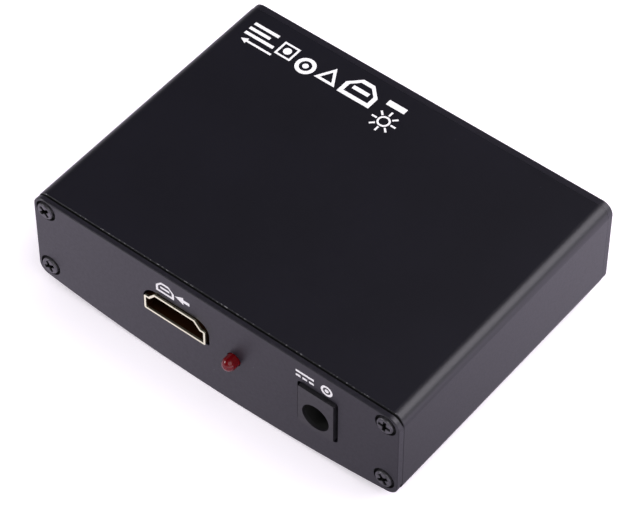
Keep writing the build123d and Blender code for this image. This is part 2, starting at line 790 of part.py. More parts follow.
# Phono contacts: a slotted tube in each insert, its rod, and a tail up through the board
tube_length = contact_top_z - barrel_bottom_z
tail_length = rear_y + barrel_bottom_z - phono_tail_y + phono_tail_radius / 2
with BuildPart() as phono_contacts:
    with BuildSketch(facing_front(rear_y + contact_top_z)):
        with Locations(*[(x, phono_z) for x in phono_x]):
            Circle(phono_contact_radius)
            Circle(phono_bore_radius, mode=Mode.SUBTRACT)
            Rectangle(2 * phono_contact_radius, phono_contact_slot, mode=Mode.SUBTRACT)
    extrude(amount=tube_length - phono_contact_wall)
    with BuildSketch(facing_front(rear_y + barrel_bottom_z)):
        with Locations(*[(x, phono_z) for x in phono_x]):
            Circle(phono_contact_radius)
    extrude(amount=-phono_contact_wall)
    with BuildSketch(facing_front(rear_y + barrel_bottom_z)):
        with Locations(*[(x, phono_z) for x in phono_x]):
            Circle(phono_tail_radius)
    extrude(amount=tail_length)
    with BuildSketch(Plane.XY.offset(phono_z)):
        for x, y, width, depth in phono_tails:
            with Locations((x, y)):
                Rectangle(width, depth)
    extrude(amount=board_back_z + lead_stub - phono_z)
save(phono_contacts.part, "phono_contacts")

# Screws that hold the phono blocks to the rear plate
with BuildPart() as block_screw:
    with BuildSketch():
        Circle(block_screw_head_radius)
    extrude(amount=block_screw_head_height)
    fillet(block_screw.faces().sort_by(Axis.Z)[-1].edges(), block_screw_head_rounding)
    with BuildSketch():
        Circle(block_screw_radius)
    extrude(amount=-block_screw_length)
    with BuildSketch(Plane.XY.offset(block_screw_head_height)):
        Rectangle(block_screw_head_radius, screw_recess_width)
        Rectangle(screw_recess_width, block_screw_head_radius)
    extrude(amount=-screw_recess_depth, mode=Mode.SUBTRACT)
with BuildPart() as phono_block_screws:
    with Locations(*[rear_seat(x, rear_y, block_screw_z) for x in block_screw_x]):
        add(block_screw.part)
save(phono_block_screws.part, "phono_block_screws")


def chip_body(name, x, width, length, height):
    """Moulded chip body under the board's component side, with a dot at pin one."""
    with BuildPart() as body:
        with BuildSketch(Plane.XY.offset(board_z - chip_standoff)):
            with Locations((x, chip_row_y)):
                Rectangle(width, length)
        extrude(amount=-height)
        chamfer(body.faces().sort_by(Axis.Z)[0].edges(), chip_chamfer)
        dot_inset = chip_chamfer + 2 * chip_dot_radius
        dot_x = x - width / 2 + dot_inset
        dot_y = chip_row_y - length / 2 + dot_inset
        with BuildSketch(Plane.XY.offset(board_z - chip_standoff - height)):
            with Locations((dot_x, dot_y)):
                Circle(chip_dot_radius)
        extrude(amount=chip_dot_depth, mode=Mode.SUBTRACT)
    save(body.part, name)


def chip_leads(name, x, width, length, height, count, pitch, rows):
    """Gull-wing leads of a chip, one solid modelled at +X and turned to each row."""
    shoulder_z = -chip_standoff - height / 2
    knee = gull_reach - gull_foot
    with BuildPart() as lead:
        with BuildSketch(Plane.XZ):
            with BuildLine():
                Polyline(
                    (0, shoulder_z),
                    (knee, shoulder_z),
                    (knee, 0),
                    (gull_reach, 0),
                    (gull_reach, -gull_thickness),
                    (knee + gull_thickness, -gull_thickness),
                    (knee + gull_thickness, shoulder_z - gull_thickness),
                    (0, shoulder_z - gull_thickness),
                    close=True,
                )
            make_face()
        extrude(amount=pitch * gull_width_share / 2, both=True)
    centre = Pos(x, chip_row_y, board_z)
    places = []
    for row in range(rows):
        turn = row * 360 / rows
        half = length / 2 if rows == quad_row_count and row % 2 else width / 2
        for step in range(count):
            places.append(centre * Rot(0, 0, turn) * Pos(half, (step - (count - 1) / 2) * pitch))
    save(Compound([lead.part.moved(place) for place in places]), name)


chips = (
    (
        "receiver_chip", socket_x, receiver_size, receiver_size, receiver_height,
        receiver_lead_count, receiver_pitch, quad_row_count,
    ),
    (
        "picture_chip", picture_chip_x, picture_chip_size, picture_chip_size, picture_chip_height,
        picture_chip_lead_count, picture_chip_pitch, quad_row_count,
    ),
    (
        "sound_chip", sound_chip_x, sound_chip_width, sound_chip_length, sound_chip_height,
        sound_chip_lead_count, sound_chip_pitch, dual_row_count,
    ),
    (
        "memory_chip", memory_x, memory_width, memory_length, memory_height,
        memory_lead_count, memory_pitch, dual_row_count,
    ),
)
for name, x, width, length, height, count, pitch, rows in chips:
    chip_body(name, x, width, length, height)
    chip_leads(f"{name}_leads", x, width, length, height, count, pitch, rows)

# Crystal: a rounded can on a flange
with BuildPart() as crystal:
    with BuildSketch(Plane.XY.offset(board_z)):
        with Locations((crystal_x, front_row_y)):
            SlotOverall(crystal_length, crystal_width)
    extrude(amount=-crystal_flange_height)
    with BuildSketch(Plane.XY.offset(board_z - crystal_flange_height)):
        with Locations((crystal_x, front_row_y)):
            SlotOverall(crystal_length - 2 * crystal_flange, crystal_width - 2 * crystal_flange)
    extrude(amount=crystal_flange_height - crystal_height)
    fillet(crystal.faces().sort_by(Axis.Z)[0].edges(), capacitor_rounding)
save(crystal.part, "crystal")

# Power inductor: a moulded square with cut corners, and its two end terminals
with BuildPart() as power_inductor:
    with BuildSketch(Plane.XY.offset(board_z - inductor_pad_thickness)) as inductor_section:
        with Locations((inductor_x, front_row_y)):
            Rectangle(inductor_size, inductor_size)
        chamfer(inductor_section.vertices(), inductor_corner)
    extrude(amount=inductor_pad_thickness - inductor_height)
    with BuildSketch(Plane.XY.offset(board_z)):
        with Locations((inductor_x, front_row_y)):
            with GridLocations(inductor_size - inductor_pad_width, 1, 2, 1):
                Rectangle(inductor_pad_width, inductor_pad_width)
    extrude(amount=-inductor_pad_thickness)
save(power_inductor.part, "power_inductor")

# Electrolytic capacitors: a can with a rolled groove on a square base
can_bottom_z = -capacitor_base_height
groove_z = -capacitor_groove_height
with BuildPart() as electrolytic:
    with BuildSketch() as base_section:
        Rectangle(capacitor_base_size, capacitor_base_size)
        chamfer(base_section.vertices().group_by(Axis.X)[-1], capacitor_base_chamfer)
    extrude(amount=-capacitor_base_height)
    with BuildSketch(Plane.XZ):
        with BuildLine():
            Polyline(
                (0, can_bottom_z),
                (capacitor_radius, can_bottom_z),
                (capacitor_radius, groove_z + capacitor_groove),
                (capacitor_radius - capacitor_groove, groove_z),
                (capacitor_radius, groove_z - capacitor_groove),
                (capacitor_radius, -capacitor_height),
                (0, -capacitor_height),
                close=True,
            )
        make_face()
    revolve(axis=Axis.Z)
    fillet(electrolytic.faces().sort_by(Axis.Z)[0].edges(), capacitor_rounding)
capacitor_places = [(share * board_half, front_row_y, board_z) for share in front_capacitor_shares]
capacitor_places += [(share * board_half, rear_row_y, board_z) for share in rear_capacitor_shares]
with BuildPart() as electrolytic_capacitors:
    with Locations(*capacitor_places):
        add(electrolytic.part)
save(electrolytic_capacitors.part, "electrolytic_capacitors")

# Voltage regulators: body, heat tab on one side and three leads on the other
with BuildPart() as voltage_regulators:
    with BuildSketch(Plane.XY.offset(board_z)):
        with Locations(*[(x, rear_row_y) for x in regulator_x]):
            Rectangle(regulator_width, regulator_depth)
    extrude(amount=-regulator_height)
    lead_y = (regulator_depth + regulator_lead_reach) / 2
    with BuildSketch(Plane.XY.offset(board_z)):
        with Locations(*[(x, rear_row_y - lead_y) for x in regulator_x]):
            with GridLocations(regulator_lead_pitch, 1, regulator_lead_count, 1):
                Rectangle(regulator_lead_width, regulator_lead_reach)
        with Locations(*[(x, rear_row_y + lead_y) for x in regulator_x]):
            Rectangle(regulator_tab_width, regulator_lead_reach)
    extrude(amount=-regulator_lead_thickness)
save(voltage_regulators.part, "voltage_regulators")

# Small ceramic capacitors and resistors
with BuildPart() as ceramic_capacitors:
    with BuildSketch(Plane.XY.offset(board_z)):
        with Locations((ceramic_x, chip_row_y)):
            with GridLocations(ceramic_pitch, ceramic_pitch, ceramic_columns, ceramic_rows):
                Rectangle(ceramic_length, ceramic_width)
        with Locations((middle_ceramic_x, chip_row_y)):
            with GridLocations(ceramic_pitch, ceramic_pitch, 1, middle_ceramic_rows):
                Rectangle(ceramic_length, ceramic_width)
    extrude(amount=-ceramic_height)
save(ceramic_capacitors.part, "ceramic_capacitors")

with BuildPart() as resistors:
    with BuildSketch(Plane.XY.offset(board_z)):
        with Locations((resistor_x, rear_row_y)):
            with GridLocations(resistor_pitch, resistor_pitch, resistor_columns, resistor_rows):
                Rectangle(resistor_width, resistor_length)
    extrude(amount=-resistor_height)
save(resistors.part, "resistors")
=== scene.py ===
import math

import bmesh
import bpy
from mathutils import Matrix, Vector


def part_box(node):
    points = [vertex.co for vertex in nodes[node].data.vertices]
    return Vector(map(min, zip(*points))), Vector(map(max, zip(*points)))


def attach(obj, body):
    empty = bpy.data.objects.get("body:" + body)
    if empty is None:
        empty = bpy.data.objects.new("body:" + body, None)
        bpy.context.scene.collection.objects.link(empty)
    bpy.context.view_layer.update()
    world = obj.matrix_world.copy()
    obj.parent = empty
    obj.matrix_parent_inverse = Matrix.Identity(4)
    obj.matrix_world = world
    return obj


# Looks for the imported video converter: materials for every CAD node, the white printing,
# the solder and small trim on the board, and the camera, floor and lamps.
# Lengths are in metres. Printed shapes are drawn in millimetres.

MM = 0.001

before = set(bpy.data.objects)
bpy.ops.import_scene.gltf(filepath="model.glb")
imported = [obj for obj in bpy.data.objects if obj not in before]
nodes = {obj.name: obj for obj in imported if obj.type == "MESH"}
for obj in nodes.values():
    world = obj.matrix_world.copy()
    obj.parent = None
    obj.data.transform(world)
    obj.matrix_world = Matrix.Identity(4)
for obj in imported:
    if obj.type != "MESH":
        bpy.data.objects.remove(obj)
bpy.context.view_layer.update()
plate_front, plate_inner = (corner.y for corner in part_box("front_plate"))
case_low, case_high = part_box("case_extrusion")
board_low, board_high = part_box("circuit_board")


def placed(name, data):
    """New object in the scene."""
    made = bpy.data.objects.new(name, data)
    bpy.context.scene.collection.objects.link(made)
    return made


def middle(name):
    """Centre of a CAD node's box."""
    low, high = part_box(name)
    return (low + high) / 2


# Camera, solved from the box's edges in the photograph. Its Y is measured from the front plate.
# The lens and the sensor are in millimetres.
CAMERA_PLACE = (0.24279, -0.27357, 0.47043)
CAMERA_AXIS = (-0.4016, 0.50616, -0.76323)
CAMERA_UP = (-0.47728, 0.5956, 0.64612)
CAMERA_LENS = 175.79
SENSOR_WIDTH = 36.0

camera_data = bpy.data.cameras.new("camera")
camera_data.lens = CAMERA_LENS
camera_data.sensor_width = SENSOR_WIDTH
camera = placed("camera", camera_data)
look = Vector(CAMERA_AXIS).normalized()
right = look.cross(Vector(CAMERA_UP)).normalized()
up = right.cross(look)
turned = Matrix([[right[i], up[i], -look[i]] for i in range(3)]).to_4x4()
camera.matrix_world = Matrix.Translation(Vector(CAMERA_PLACE) + Vector((0, plate_front, 0))) @ turned
bpy.context.scene.camera = camera
bpy.context.scene.view_settings.view_transform = "Standard"

EVEN = (1.0, 1.0, 1.0)
MATT = 0.85  # roughness of parts with no gloss
COLOUR_DETAIL, GLOSS_DETAIL, BUMP_DETAIL = 4.0, 5.0, 2.0
DUST_CLUMPS = 0.31  # scale of the clumps of dust, as a share of the specks' own
DUST_BARE = 0.55  # noise below which there is no dust
FACING_Y = 0.85  # part of a normal along Y, from which a face counts as an end
FACING_Z = 0.9  # the same along Z, for the flat ends of solids


class Graph:
    """Node tree of a material or the world. Its place is the texture coordinate."""

    def __init__(self, tree, coordinates="Object"):
        self.tree = tree
        self.place = self.node("ShaderNodeTexCoord").outputs[coordinates]

    def node(self, kind, inputs=(), **settings):
        """Adds a node. Inputs go by name or number and hold constants or other nodes' outputs."""
        made = self.tree.nodes.new(kind)
        for key, value in settings.items():
            setattr(made, key, value)
        for slot, value in dict(inputs).items():
            if isinstance(value, bpy.types.NodeSocket):
                self.tree.links.new(value, made.inputs[slot])
            else:
                made.inputs[slot].default_value = value
        return made

    def maths(self, operation, *values):
        return self.node("ShaderNodeMath", enumerate(values), operation=operation).outputs["Value"]

    def ramp(self, value, first, last, start=0.3, end=0.7):
        """Goes from first to last while the value goes from start to end."""
        ends = {"From Min": start, "From Max": end, "To Min": first, "To Max": last}
        return self.node("ShaderNodeMapRange", {"Value": value, **ends}).outputs["Result"]

    def part(self, vector, axis):
        return self.node("ShaderNodeSeparateXYZ", {"Vector": vector}).outputs[axis]

    def axis(self, name):
        """The place along X, Y or Z."""
        return self.part(self.place, name)

    def mixed(self, factor, first, second):
        """The first shader where factor is 0 and the second where it is 1."""
        inputs = {"Fac": factor, 1: first, 2: second}
        return self.node("ShaderNodeMixShader", inputs).outputs["Shader"]


class Shader(Graph):
    """A principled material whose textures read the frame's own coordinates."""

    def __init__(self, name, colour, roughness, metallic=0.0):
        self.material = bpy.data.materials.new(name)
        self.material.use_nodes = True
        super().__init__(self.material.node_tree)
        self.surface = self.tree.nodes["Principled BSDF"]
        self.colour = colour
        self.tint = (*colour, 1.0)
        self.gloss = None
        self.relief = None
        self.put("Base Color", self.tint)
        self.put("Roughness", roughness)
        self.put("Metallic", metallic)

    def put(self, slot, value):
        """Sets one of the surface's own values."""
        self.surface.inputs[slot].default_value = value

    def drive(self, slot, source):
        """Lets a pattern set one of the surface's values."""
        self.tree.links.new(source, self.surface.inputs[slot])

    def noise(self, scale, detail=3.0, stretch=EVEN):
        mapping = self.node("ShaderNodeMapping", {"Vector": self.place, "Scale": stretch})
        inputs = {"Vector": mapping.outputs["Vector"], "Scale": scale, "Detail": detail}
        return self.node("ShaderNodeTexNoise", inputs).outputs["Fac"]

    def cells(self, scale, size, randomness=1.0):
        """1 in a round dot in each of many cells."""
        inputs = {"Vector": self.place, "Scale": scale, "Randomness": randomness}
        made = self.node("ShaderNodeTexVoronoi", inputs, feature="F1")
        return self.maths("LESS_THAN", made.outputs["Distance"], size)

    def mix(self, factor, other):
        """Lays another colour over the base colour where factor is 1."""
        inputs = {"Factor": factor, "A": self.tint, "B": (*other, 1.0)}
        self.tint = self.node("ShaderNodeMix", inputs, data_type="RGBA").outputs["Result"]
        self.drive("Base Color", self.tint)

    def mottled(self, scale, amount, stretch=EVEN):
        """Uneven colour: the base colour drifts lighter in patches."""
        lighter = tuple(min(1.0, share * (1.0 + amount)) for share in self.colour)
        self.mix(self.ramp(self.noise(scale, COLOUR_DETAIL, stretch), 0.0, 1.0), lighter)

    def dusty(self, scale, size, colour):
        """Sparse specks of dust or lint."""
        some = self.maths("GREATER_THAN", self.noise(scale * DUST_CLUMPS, 2.0), DUST_BARE)
        self.mix(self.maths("MULTIPLY", self.cells(scale, size), some), colour)

    def worn(self, scale, low, high, stretch=EVEN):
        """Uneven gloss between two roughness values."""
        self.gloss = self.ramp(self.noise(scale, GLOSS_DETAIL, stretch), low, high)
        self.drive("Roughness", self.gloss)

    def duller(self, factor):
        """Takes the gloss off where factor is 1."""
        self.drive("Roughness", self.maths("MAXIMUM", self.gloss, self.maths("MULTIPLY", factor, MATT)))

    def textured(self, scale, depth, stretch=EVEN):
        """Fine surface texture, over any that is there already. Returns the material."""
        inputs = {"Strength": 1.0, "Distance": depth, "Height": self.noise(scale, BUMP_DETAIL, stretch)}
        if self.relief is not None:
            inputs["Normal"] = self.relief
        self.relief = self.node("ShaderNodeBump", inputs).outputs["Normal"]
        self.drive("Normal", self.relief)
        return self.material

    def above(self, height):
        """1 above a height."""
        return self.maths("GREATER_THAN", self.axis("Z"), height)

    def beyond(self, y, reach):
        """1 more than a reach away from a place on Y."""
        away = self.maths("ABSOLUTE", self.maths("SUBTRACT", self.axis("Y"), y))
        return self.maths("GREATER_THAN", away, reach)

    def deeper(self, start, reach):
        """Rises from 0 to 1 along Y from a start over a reach."""
        return self.ramp(self.axis("Y"), 0.0, 1.0, start, start + reach)

    def facing(self, axis):
        return self.part(self.node("ShaderNodeNewGeometry").outputs["Normal"], axis)

    def ends(self):
        """1 where the surface faces along Y."""
        return self.maths("GREATER_THAN", self.maths("ABSOLUTE", self.facing("Y")), FACING_Y)

    def sunk(self, x, z, radius, start, reach):
        """1 near an axis along Y, rising from 0 at a start over a reach."""
        across = self.maths("SUBTRACT", self.axis("X"), x)
        rise = self.maths("SUBTRACT", self.axis("Z"), z)
        squares = [self.maths("MULTIPLY", away, away) for away in (across, rise)]
        near = self.maths("LESS_THAN", self.maths("ADD", *squares), radius**2)
        return self.maths("MULTIPLY", near, self.deeper(start, reach))

    def hollow(self, x, z, start, reach):
        """1 on walls that face an axis along Y, rising from 0 at a start over a reach."""
        across = self.maths("MULTIPLY", self.maths("SUBTRACT", self.axis("X"), x), self.facing("X"))
        rise = self.maths("MULTIPLY", self.maths("SUBTRACT", self.axis("Z"), z), self.facing("Z"))
        inward = self.maths("LESS_THAN", self.maths("ADD", across, rise), 0.0)
        return self.maths("MULTIPLY", inward, self.deeper(start, reach))


BLACK = (0.012, 0.012, 0.014)
CHIP_BLACK = (0.028, 0.028, 0.03)
UNLIT = (0.0015, 0.0015, 0.0015)
GOLD = (0.83, 0.6, 0.27)
TIN = (0.66, 0.66, 0.65)
RED = (0.6, 0.01, 0.015)
COPPER_GREEN = (0.05, 0.26, 0.09)


SPECK_AND_GLINT_BAND = Vector((0.0, 0.13, 0.14)) * MM  # how far the bare specks, painted lighter as a glint, reach from the front edge


def case_finish():
    """Black anodising, painted unlit on the end faces as shade in the seams by the plates, with bare specks
    painted lighter as a glint along the flat face's front edge.
    """
    shader = Shader("anodised_case", (0.0038, 0.0034, 0.0068), roughness=0.4)
    shader.mottled(scale=45.0, amount=0.3)
    shader.dusty(scale=130.0, size=0.016, colour=(0.11, 0.11, 0.12))
    shader.dusty(scale=310.0, size=0.03, colour=(0.04, 0.04, 0.045))
    # Bare-metal specks on the flat face's front edge, also painted lighter as a glint that stands in for
    # the edge's highlight.
    front = shader.maths("LESS_THAN", shader.axis("Y"), case_low.y + SPECK_AND_GLINT_BAND.y)
    edge = shader.maths("MULTIPLY", front, shader.above(case_high.z - SPECK_AND_GLINT_BAND.z))
    specks = shader.ramp(shader.noise(1900.0), first=0.0, last=1.0, start=0.56, end=0.68)
    shader.mix(shader.maths("MULTIPLY", edge, specks), (0.18, 0.175, 0.19))
    # Painted shade: the faces along Y, the extrusion's ends that show in the seams by the plates, take the
    # unlit colour.
    painted_seam_shade = shader.ends()
    shader.mix(painted_seam_shade, UNLIT)
    shader.worn(scale=2600.0, low=0.37, high=0.43)
    shader.duller(painted_seam_shade)
    shader.textured(scale=1500.0, depth=0.0012 * MM, stretch=(1.0, 0.06, 1.0))
    return shader.textured(scale=5200.0, depth=0.0045 * MM)


SCREWS = range(1, 5)
HOLE_RADIUS = 2.6 * MM
RECESS_RADIUS = 1.45 * MM


def screw_axis(name):
    return middle(name).x, middle(name).z


def plate_finish(end, face_y, inward):
    """Satin black plate, unlit in the counterbores. Inward is +1 or -1 along Y."""
    shader = Shader(f"{end}_plate_finish", (0.006, 0.0053, 0.009), roughness=0.42)
    shader.mottled(scale=2600.0, amount=0.8)
    shader.dusty(scale=260.0, size=0.03, colour=(0.1, 0.095, 0.1))
    start, reach = face_y + 0.03 * MM * inward, 0.25 * MM * inward
    holes = 0.0
    for number in SCREWS:
        hole = shader.sunk(*screw_axis(f"{end}_screw_{number}"), HOLE_RADIUS, start, reach)
        holes = shader.maths("ADD", hole, holes)
    shader.mix(holes, UNLIT)
    shader.worn(scale=1500.0, low=0.38, high=0.46)
    shader.duller(holes)
    return shader.textured(scale=6000.0, depth=0.005 * MM)


def screw_finish(name, face_y, inward):
    """Blackened steel, unlit in the cross recess. The head's face is at face_y."""
    shader = Shader(f"{name}_steel", (0.05, 0.048, 0.054), roughness=0.36, metallic=0.6)
    shader.mottled(scale=1800.0, amount=1.2)
    start, reach = face_y + 0.05 * MM * inward, 0.2 * MM * inward
    recess = shader.sunk(*screw_axis(name), RECESS_RADIUS, start, reach)
    shader.mix(recess, (0.001, 0.001, 0.001))
    shader.worn(scale=2400.0, low=0.28, high=0.42)
    shader.duller(recess)
    return shader.textured(scale=5200.0, depth=0.008 * MM)


def board_finish():
    """Solder mask over stepped copper tracks, with drilled dots between them."""
    shader = Shader("board_laminate", (0.012, 0.12, 0.04), roughness=0.3)
    off, on = (0.0, 0.0, 0.0, 1.0), (1.0, 1.0, 1.0, 1.0)
    inputs = {"Vector": shader.place, "Scale": 130.0, "Mortar Size": 0.04}
    inputs |= {"Color1": off, "Color2": off, "Mortar": on}
    tracks = shader.node("ShaderNodeTexBrick", inputs).outputs["Color"]
    patches = shader.maths("GREATER_THAN", shader.noise(90.0, detail=1.0), 0.5)
    shader.mix(shader.maths("MULTIPLY", tracks, patches), COPPER_GREEN)
    shader.mix(shader.cells(scale=330.0, size=0.1, randomness=0.6), (0.3, 0.33, 0.2))
    shader.worn(scale=400.0, low=0.24, high=0.36)
    return shader.textured(scale=2500.0, depth=0.006 * MM)


def metal_finish(name, colour, low, high, stretch=EVEN):
    """Bare metal, with a roughness from low to high."""
    shader = Shader(name, colour, (low + high) / 2, metallic=1.0)
    shader.mottled(500.0, 0.15, stretch)
    shader.worn(1600.0, low, high, stretch)
    return shader.textured(3800.0, 0.004 * MM, stretch)


def plastic_finish(name, colour, low, high, coat=0.0):
    """Moulded plastic, with a roughness from low to high."""
    shader = Shader(name, colour, (low + high) / 2)
    shader.put("Coat Weight", coat)
    shader.put("Coat Roughness", 0.08)
    shader.mottled(scale=700.0, amount=0.35)
    shader.worn(1100.0, low, high)
    return shader.textured(scale=4200.0, depth=0.006 * MM)


def shell_finish():
    """Gold flash, with painted shade inside the mouth and where the plate's cut-out shades the outside."""
    mouth_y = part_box("video_socket_shell")[0].y
    shader = Shader("gilt_shell", (1.0, 0.97, 0.71), roughness=0.3, metallic=1.0)
    shader.mottled(scale=500.0, amount=0.05)
    axis_x, axis_z = middle("video_socket_shell").x, middle("video_socket_tongue").z
    inside = shader.hollow(axis_x, axis_z, start=mouth_y + 0.1 * MM, reach=0.7 * MM)
    sunk = shader.deeper(start=mouth_y + 0.2 * MM, reach=0.3 * MM)
    past_plate = shader.deeper(start=plate_inner + 0.5 * MM, reach=1.0 * MM)
    shaded = shader.maths("SUBTRACT", sunk, past_plate)
    dark = shader.maths("MAXIMUM", inside, shaded)
    # Painted shade: brown-black inside the mouth and on the outside behind the plate's cut-out.
    shader.mix(dark, (0.07, 0.026, 0.009))
    shader.worn(scale=1600.0, low=0.26, high=0.34)
    shader.duller(shader.maths("MULTIPLY", dark, 0.6))
    return shader.textured(scale=3800.0, depth=0.0008 * MM)


def power_jack_finish():
    """Moulded block, unlit inside its bore."""
    mouth_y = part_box("power_jack_housing")[0].y
    axis = middle("power_jack_pin")
    shader = Shader("power_jack_plastic", (0.013, 0.012, 0.015), roughness=0.42)
    shader.mottled(scale=900.0, amount=0.5)
    inside = shader.hollow(axis.x, axis.z, start=mouth_y + 0.1 * MM, reach=0.9 * MM)
    shader.mix(inside, (0.0008, 0.0008, 0.0008))
    shader.worn(scale=1300.0, low=0.38, high=0.46)
    shader.duller(inside)
    return shader.textured(scale=4600.0, depth=0.005 * MM)


def lens_finish():
    """Clear red plastic, with little light through it."""
    shader = Shader("red_lens", (0.11, 0.001, 0.003), roughness=0.16)
    shader.put("Transmission Weight", 0.1)
    shader.put("IOR", 1.45)
    shader.mottled(scale=300.0, amount=0.4)
    shader.worn(scale=700.0, low=0.13, high=0.19)
    return shader.textured(scale=900.0, depth=0.004 * MM)


def split_finish(name, colour, part, other, low, high, metallic):
    """Two materials in one solid: the other colour and the second metallic value where part is 1."""
    shader = Shader(name, colour, (low + high) / 2)
    shader.mottled(scale=900.0, amount=0.3)
    where = part(shader)
    shader.mix(where, other)
    shader.drive("Metallic", shader.ramp(where, *metallic, start=0.0, end=1.0))
    shader.worn(1400.0, low, high)
    return shader.textured(scale=4800.0, depth=0.005 * MM)


def wear(material, *names):
    """Gives CAD nodes a material."""
    for name in names:
        slots = nodes[name].data.materials
        slots.clear()
        slots.append(material)


CAN_BASE = 1.02 * MM  # height of the black foot under an electrolytic can
PAD_HEIGHT = 0.31 * MM  # height of the inductor's tinned pads
TAB_PLACE = 1.76 * MM  # where a regulator's leads start, from its middle


def dress_case():
    wear(case_finish(), "case_extrusion")
    wear(plate_finish("front", plate_front, 1), "front_plate")
    wear(plate_finish("rear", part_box("rear_plate")[1].y, -1), "rear_plate")
    for number in SCREWS:
        front, rear = f"front_screw_{number}", f"rear_screw_{number}"
        wear(screw_finish(front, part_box(front)[0].y, 1), front)
        wear(screw_finish(rear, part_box(rear)[1].y, -1), rear)
    wear(metal_finish("black_steel", (0.08, 0.08, 0.085), 0.26, 0.42), "phono_block_screws")


def dress_ports():
    black_plastic = plastic_finish("black_plastic", (0.02, 0.02, 0.022), 0.34, 0.46)
    gold = metal_finish("contact_gold", GOLD, 0.18, 0.3)
    wear(shell_finish(), "video_socket_shell")
    wear(gold, "video_socket_contacts", "phono_contacts", "power_jack_leaf")
    wear(black_plastic, "video_socket_tongue", "picture_jack_housing", "sound_jack_housing")
    wear(power_jack_finish(), "power_jack_housing")
    # The pin's metal is painted dark grey as shade deep in the bore.
    wear(metal_finish("pin_metal", (0.2, 0.2, 0.2), 0.4, 0.52), "power_jack_pin")
    wear(lens_finish(), "indicator_lens")
    inserts = {
        "green": (0.02, 0.36, 0.08),
        "blue": (0.01, 0.08, 0.5),
        "red": RED,
        "audio_white": (0.82, 0.82, 0.79),
        "audio_red": RED,
    }
    nickel = metal_finish("nickel_barrel", (0.72, 0.71, 0.68), 0.1, 0.2, stretch=(0.3, 6.0, 0.3))
    for name, colour in inserts.items():
        wear(nickel, f"{name}_jack_barrel")
        wear(plastic_finish(f"{name}_plastic", colour, 0.22, 0.34, coat=0.4), f"{name}_jack_insert")


def dress_board():
    tin = metal_finish("tinned_metal", TIN, 0.28, 0.42)
    wear(board_finish(), "circuit_board")
    wear(tin, "indicator_leads", "power_jack_terminals")
    chips = [f"{kind}_chip" for kind in ("receiver", "picture", "sound", "memory")]
    wear(plastic_finish("chip_plastic", CHIP_BLACK, 0.5, 0.62), *chips)
    wear(tin, *[f"{chip}_leads" for chip in chips])
    wear(metal_finish("crystal_can", (0.7, 0.7, 0.69), 0.22, 0.34, stretch=(1.0, 8.0, 1.0)), "crystal")
    wear(plastic_finish("resistor_body", (0.02, 0.02, 0.022), 0.24, 0.4), "resistors")
    wear(plastic_finish("ceramic", (0.42, 0.28, 0.16), 0.4, 0.55), "ceramic_capacitors")

    def base(shader):
        return shader.above(board_low.z - CAN_BASE)

    def pads(shader):
        return shader.above(board_low.z - PAD_HEIGHT)

    def tabs(shader):
        return shader.beyond(middle("voltage_regulators").y, TAB_PLACE)

    can = split_finish("can", (0.78, 0.78, 0.78), base, BLACK, 0.24, 0.38, metallic=(0.9, 0.0))
    ferrite = split_finish("ferrite", (0.07, 0.07, 0.075), pads, TIN, 0.45, 0.6, metallic=(0.0, 1.0))
    regulator = split_finish("regulator", CHIP_BLACK, tabs, TIN, 0.42, 0.55, metallic=(0.0, 1.0))
    wear(can, "electrolytic_capacitors")
    wear(ferrite, "power_inductor")
    wear(regulator, "voltage_regulators")
    return chips


dress_case()
dress_ports()
chip_names = dress_board()

# White printing: plain shapes where the photograph has words and marks
INK_DEPTH = 0.03 * MM
ARC_STEPS = 40


def polar(x, y, radius, turn):
    """Point at a radius from a centre, at a turn in degrees."""
    return x + radius * math.cos(math.radians(turn)), y + radius * math.sin(math.radians(turn))


def circle(x, y, radius):
    return [polar(x, y, radius, 360 * step / ARC_STEPS) for step in range(ARC_STEPS)]


def bar(x, y, width, height, turn=0.0):
    """Rectangle about a centre."""
    c, s = polar(0.0, 0.0, 1.0, turn)
    points = [(a * width / 2, b * height / 2) for a, b in ((-1, -1), (1, -1), (1, 1), (-1, 1))]
    return [(x + c * px - s * py, y + s * px + c * py) for px, py in points]


def ring(x, y, radius, stroke):
    return [circle(x, y, radius), circle(x, y, radius - stroke)]


def box_outline(x, y, width, height, stroke):
    return [bar(x, y, width, height), bar(x, y, width - 2 * stroke, height - 2 * stroke)]


def triangle(x, y, radius, stroke):
    """Outline of a triangle with one corner towards +Y."""
    return [[polar(x, y, size, turn) for turn in (90, 210, 330)] for size in (radius, radius - 2 * stroke)]


def arrow(x, y, length, stroke, head):
    """Arrow from a tail point towards -X."""
    neck = length - head
    points = (
        (0, -stroke / 2),
        (neck, -stroke / 2),
        (neck, -head / 2),
        (length, 0),
        (neck, head / 2),
        (neck, stroke / 2),
        (0, stroke / 2),
    )
    return [(x - px, y + py) for px, py in points]


def port(x, y, width, height, stroke):
    """Outline of a socket with two cut corners, and the bar in it."""

    def outline(w, h):
        cut = h * 0.45
        return [
            (x - w / 2, y - h / 2),
            (x + w / 2, y - h / 2),
            (x + w / 2, y + h / 2 - cut),
            (x + w / 2 - cut, y + h / 2),
            (x - w / 2 + cut, y + h / 2),
            (x - w / 2, y + h / 2 - cut),
        ]

    inner = outline(width - 2 * stroke, height - 2 * stroke)
    return [outline(width, height), inner, bar(x, y, width * 0.5, stroke)]


def sun(x, y, radius, reach, length, stroke):
    """Ring with eight rays, whose middles are at a reach from its centre."""
    rays = [bar(*polar(x, y, reach, turn), length, stroke, turn) for turn in range(0, 360, 45)]
    return [*ring(x, y, radius, stroke), *rays]


def ink_finish():
    shader = Shader("white_ink", (0.8, 0.79, 0.8), roughness=0.5)
    thin = shader.ramp(shader.noise(2600.0, detail=4.0), first=0.0, last=0.25, start=0.35, end=0.75)
    shader.mix(thin, (0.4, 0.4, 0.42))
    shader.worn(scale=2200.0, low=0.42, high=0.58)
    return shader.textured(scale=5200.0, depth=0.005 * MM)


ink = ink_finish()


